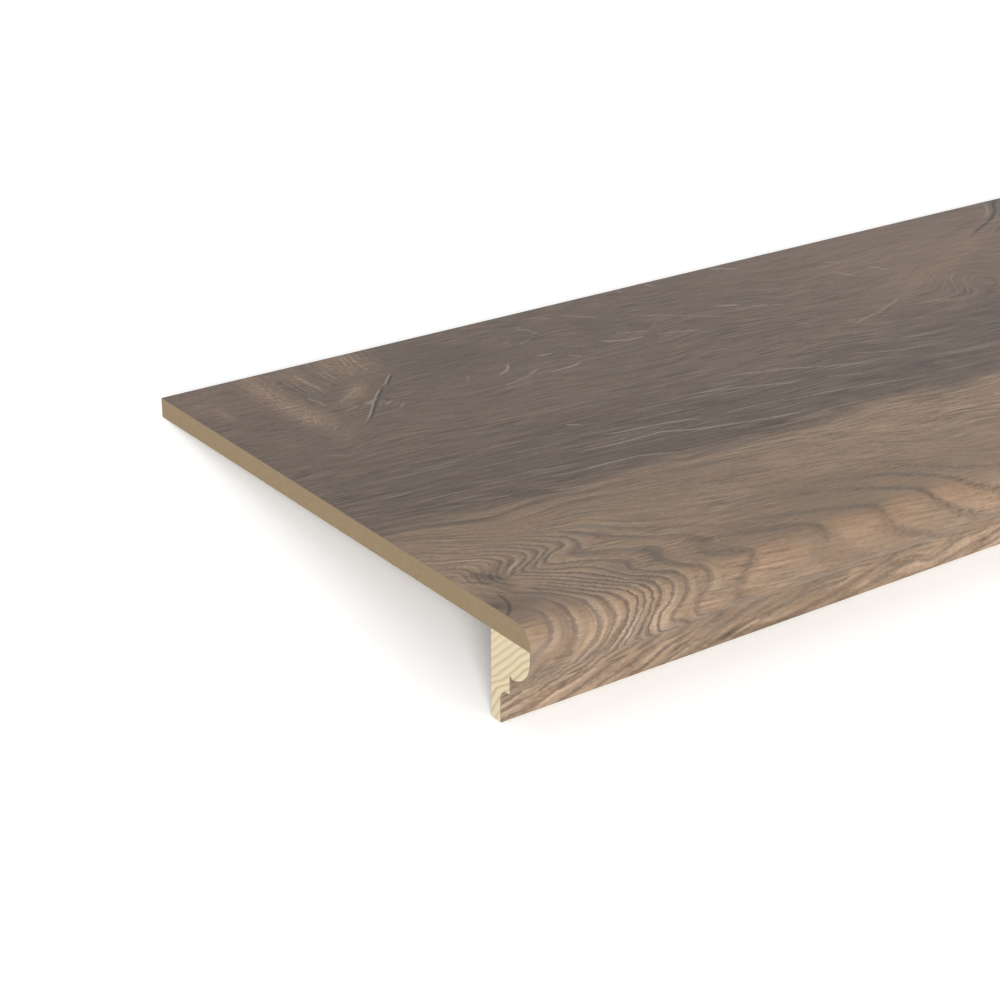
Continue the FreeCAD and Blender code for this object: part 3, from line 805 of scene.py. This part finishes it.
# The wood's own shades, then the ring lines over them: golden in the warm patches, dark elsewhere
tan_part = calc(tree, "ADD", tan_part, around_zero(tree, coarse_streaks, STREAK_AMOUNT))
tan_part = ease(tree, tan_part, 0.2, 0.8)
colour = mix_colours(tree, tan_part, OAK_GREY, OAK_TAN)
colour = mix_colours(tree, dark_part, colour, OAK_SLATE)
colour = mix_colours(tree, product(tree, warm_part, GOLD_AMOUNT), colour, OAK_GOLD)
colour = mix_colours(tree, light_part, colour, OAK_HONEY)
gold_gate = product(tree, ease(tree, crinkle, 0.38, 0.56),
                    calc(tree, "MULTIPLY_ADD", ease(tree, fibres, 0.36, 0.56), 0.7, 0.3))
gold_lines = product(tree, line, warm_part, gold_gate, GOLD_LINE_AMOUNT)
colour = mix_colours(tree, gold_lines, colour, OAK_HONEY)
line_amount = product(tree, line_part, ease(tree, ring_spacing, 1.4, 2.6),
                      one_minus(tree, warm_part, clamp=True),
                      calc(tree, "MULTIPLY_ADD", tan_part, 0.65, 0.2))
line_gate = calc(tree, "MULTIPLY_ADD", ease(tree, ripples, 0.34, 0.58), 0.6, 0.4)
ring_amount = product(tree, line, line_amount, line_gate)
line_colour = mix_colours(tree, wide_rings, OAK_PORE, OAK_SHADOW)
colour = mix_colours(tree, ring_amount, colour, line_colour)
tail_amount = product(tree, tail, line_amount, RING_TAIL_AMOUNT)
colour = mix_colours(tree, tail_amount, colour, OAK_SHADOW)
# The painted highlight beside each ring line is mixed in pale
ridge_highlight_amount = product(tree, ridge_highlight, line_amount, RING_RIDGE_HIGHLIGHT_AMOUNT)
colour = mix_colours(tree, ridge_highlight_amount, colour, OAK_PALE)
pores = one_minus(tree, ease(tree, fibres, 0.30, 0.40))
pore_amount = calc(tree, "MULTIPLY_ADD", tan_part, -0.06, 0.18)
colour = mix_colours(tree, product(tree, pores, pore_amount), colour, OAK_PORE)

# Brightness and warmth over all of that
ripple_amount = calc(tree, "MULTIPLY_ADD", ease(tree, patchy, 0.35, 0.65), 1.2, 1.0)
roughened = total(tree, around_zero(tree, ripples, ripple_amount),
                  around_zero(tree, coarse_streaks, FINE_STREAK_AMOUNT),
                  around_zero(tree, fibres, FIBRE_AMOUNT))
roughened = product(tree, roughened, one_minus(tree, calm_part))
tone = total(tree, 1.0, roughened, around_zero(tree, mottling, MOTTLING_AMOUNT))
tone = product(tree, tone, gain_part)
warmth = around_zero(tree, hue_mottling, WARMTH_AMOUNT)
red = product(tree, tone, calc(tree, "ADD", 1.0, warmth))
blue = product(tree, tone, one_minus(tree, warmth))
tint = add_node(tree, "CombineColor", {0: red, 1: tone, 2: blue}).outputs[0]
colour = mix_colours(tree, 1.0, colour, tint, mode="MULTIPLY")


# Strokes last: dark bands, cracks and pale flecks, and fine threads along the grain
def stroke_amount(tree, name, roughen, softness=0.45):
    """How much of a stroke lies on a point, with rough edges."""
    distance, half_width, amount = kept_numbers(tree, name)
    shaken = calc(tree, "ADD", distance, around_zero(tree, ragged, roughen))
    outside = calc(tree, "SUBTRACT", calc(tree, "ABSOLUTE", shaken), half_width)
    inside = one_minus(tree, ease(tree, outside, -softness, softness))
    return product(tree, inside, amount)


slate = product(tree, stroke_amount(tree, "slate_bands", 11.0, softness=1.4),
                calc(tree, "MULTIPLY_ADD", ease(tree, fibres, 0.38, 0.58), -0.6, 1.0))
colour = mix_colours(tree, product(tree, slate, SLATE_AMOUNT), colour, OAK_SHADOW)
slate_pores = product(tree, slate, one_minus(tree, ease(tree, ragged, 0.42, 0.52)))
colour = mix_colours(tree, product(tree, slate_pores, SLATE_PORE_AMOUNT), colour, OAK_PORE)
crack = product(tree, stroke_amount(tree, "cracks", 0.8), CRACK_AMOUNT)
colour = mix_colours(tree, crack, colour, CRACK_DARK)
pale = product(tree, stroke_amount(tree, "pale_strokes", 1.2), ease(tree, fibres, 0.22, 0.48))
colour = mix_colours(tree, product(tree, pale, PALE_AMOUNT), colour, OAK_PALE)
thread_place = stretch(tree, grain_place, (0.014, 0.014, 0.50), shift=(7, 0, 3))
threads = noise(tree, thread_place, detail=3, roughness=0.6)
thread_amount = calc(tree, "MULTIPLY_ADD", dark_part, THREAD_AMOUNT, THREAD_AMOUNT)
thread_amount = product(tree, thread_amount, one_minus(tree, level_part))
pale_threads = ease(tree, threads, 0.56, 0.66)
colour = mix_colours(tree, product(tree, pale_threads, thread_amount), colour, OAK_PALE)
dark_threads = one_minus(tree, ease(tree, threads, 0.34, 0.44))
colour = mix_colours(tree, product(tree, dark_threads, thread_amount), colour, OAK_PORE)
tree.links.new(colour, shader.inputs["Base Color"])
shader.inputs["Roughness"].default_value = 0.5
shader.inputs["Specular IOR Level"].default_value = 0.25
sunken = calc(tree, "ADD", ring_amount, product(tree, crack, 3.0))
relief = calc(tree, "SUBTRACT", product(tree, fibres, 0.5), sunken)
bump = add_node(tree, "Bump", {"Height": relief, "Strength": 0.35, "Distance": FINE_RELIEF})
tree.links.new(bump.outputs[0], shader.inputs["Normal"])

# The sheet's own cut edge, on the two ends, the back edge and the foot
CUT_EDGE_DARK = (0.16, 0.122, 0.082, 1)
CUT_EDGE_PALE = (0.20, 0.152, 0.102, 1)

cut_edge, tree, shader = start_material("laminate_cut_edge")
place = add_node(tree, "TexCoord").outputs["Object"]
layers = noise(tree, stretch(tree, place, (300, 300, 4000)), detail=1)
colour = mix_colours(tree, layers, CUT_EDGE_DARK, CUT_EDGE_PALE)
tree.links.new(colour, shader.inputs["Base Color"])
shader.inputs["Roughness"].default_value = 0.6

sheet.data.materials[0] = oak
sheet.data.materials[1] = cut_edge
bpy.ops.object.shade_smooth_by_angle(angle=math.radians(35))
sheet.data.transform(RESTING_PLACE)
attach(sheet, "root")
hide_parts("decor_laminate")


# The studio: a pale floor under an even white sky, and one broad lamp from the left front.
# The camera looks down on the left front corner.

FLOOR_SIZE = 16
FLOOR_LIT = (0.8, 0.8, 0.8, 1)          # what the tread gets light from
FLOOR_SEEN = (1.22, 1.22, 1.22, 1)
SKY_LIT = 0.58          # likewise
SKY_SEEN = 1.0
LAMP_STRENGTH = 3.0
LAMP_WIDTH = math.radians(25)
TOWARDS_LAMP = Vector((-0.53, -0.745, 0.407))


def seen_ray(tree):
    """1 for what the camera sees, also in a gloss or through glass, and 0 for what lights."""
    rays = add_node(tree, "LightPath").outputs
    reflected = calc(tree, "MAXIMUM", rays["Is Glossy Ray"], rays["Is Transmission Ray"])
    return calc(tree, "MAXIMUM", rays["Is Camera Ray"], reflected)


bpy.ops.object.select_all(action="DESELECT")
bpy.ops.mesh.primitive_plane_add(size=FLOOR_SIZE, location=(0, 0, 0))
floor = bpy.context.object
floor.name = "floor"
paint, tree, shader = start_material("pale_floor")
shader.inputs["Roughness"].default_value = 0.9
shader.inputs["Specular IOR Level"].default_value = 0.0
floor_colour = mix_colours(tree, seen_ray(tree), FLOOR_LIT, FLOOR_SEEN)
tree.links.new(floor_colour, shader.inputs["Base Color"])
floor.data.materials.append(paint)

world = bpy.data.worlds.new("even_sky")
world.use_nodes = True
tree = world.node_tree
background = tree.nodes["Background"]
strength = calc(tree, "MULTIPLY_ADD", seen_ray(tree), SKY_SEEN - SKY_LIT, SKY_LIT)
tree.links.new(strength, background.inputs["Strength"])
background.inputs["Color"].default_value = (1, 1, 1, 1)
bpy.context.scene.world = world

lamp_data = bpy.data.lights.new("key_lamp", "SUN")
lamp_data.energy = LAMP_STRENGTH
lamp_data.angle = LAMP_WIDTH
lamp = bpy.data.objects.new("key_lamp", lamp_data)
bpy.context.collection.objects.link(lamp)
lamp.rotation_euler = TOWARDS_LAMP.to_track_quat("Z", "Y").to_euler()

# The camera stands about the leaning tread as the photo's stood about a level one: its place
# is from the inner corner, in the middle of the tread's length
CAMERA_PLACE = Vector((-1.07014, -0.80126, 0.50779))
CAMERA_DIP = math.radians(24.0125)
CAMERA_TURN = math.radians(35.6946)
CAMERA_LENS = 79.98     # millimetres
camera_data = bpy.data.cameras.new("camera")
camera_data.lens = CAMERA_LENS
camera = bpy.data.objects.new("camera", camera_data)
bpy.context.collection.objects.link(camera)
aim = Matrix.Rotation(-CAMERA_TURN, 4, "Z") @ Matrix.Rotation(math.pi / 2 - CAMERA_DIP, 4, "X")
camera.matrix_world = RESTING_PLACE @ Matrix.Translation(CAMERA_PLACE) @ aim
bpy.context.scene.camera = camera
bpy.context.scene.view_settings.view_transform = "Standard"
